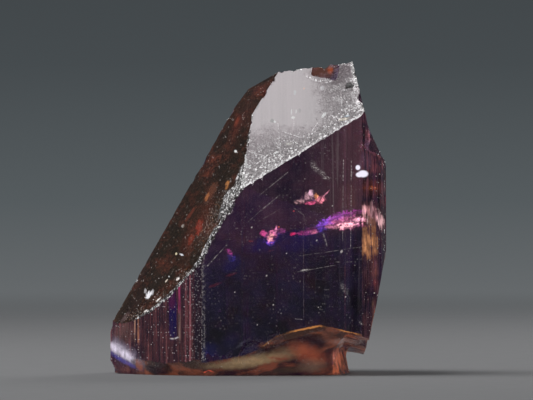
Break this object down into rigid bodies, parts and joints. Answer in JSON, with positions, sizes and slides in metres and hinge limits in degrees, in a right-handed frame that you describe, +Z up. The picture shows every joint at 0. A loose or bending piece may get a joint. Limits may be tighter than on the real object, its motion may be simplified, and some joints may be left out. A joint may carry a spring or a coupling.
{
  "type": "tanzanite crystal",
  "caption": "Broken, slanting tanzanite prism with a wedge-shaped silvery top, a striated front and a flat natural foot that it stands on.",
  "frame": {"origin": "middle of the crystal's box, on the flat foot that it stands on", "axes": "+Z up along the standing height, +Y from the striated front face to the back, +X to the right as seen from the front; the prism's own long axis leans five degrees back from +Z"},
  "size_m": [0.012, 0.0084, 0.0136],
  "materials": {
    "tanzanite": "clear violet-brown crystal, glossy on the prism faces and etched silvery on the top"
  },
  "bodies": {
    "root": {"tanzanite_crystal": "tanzanite"}
  },
  "joints": []
}
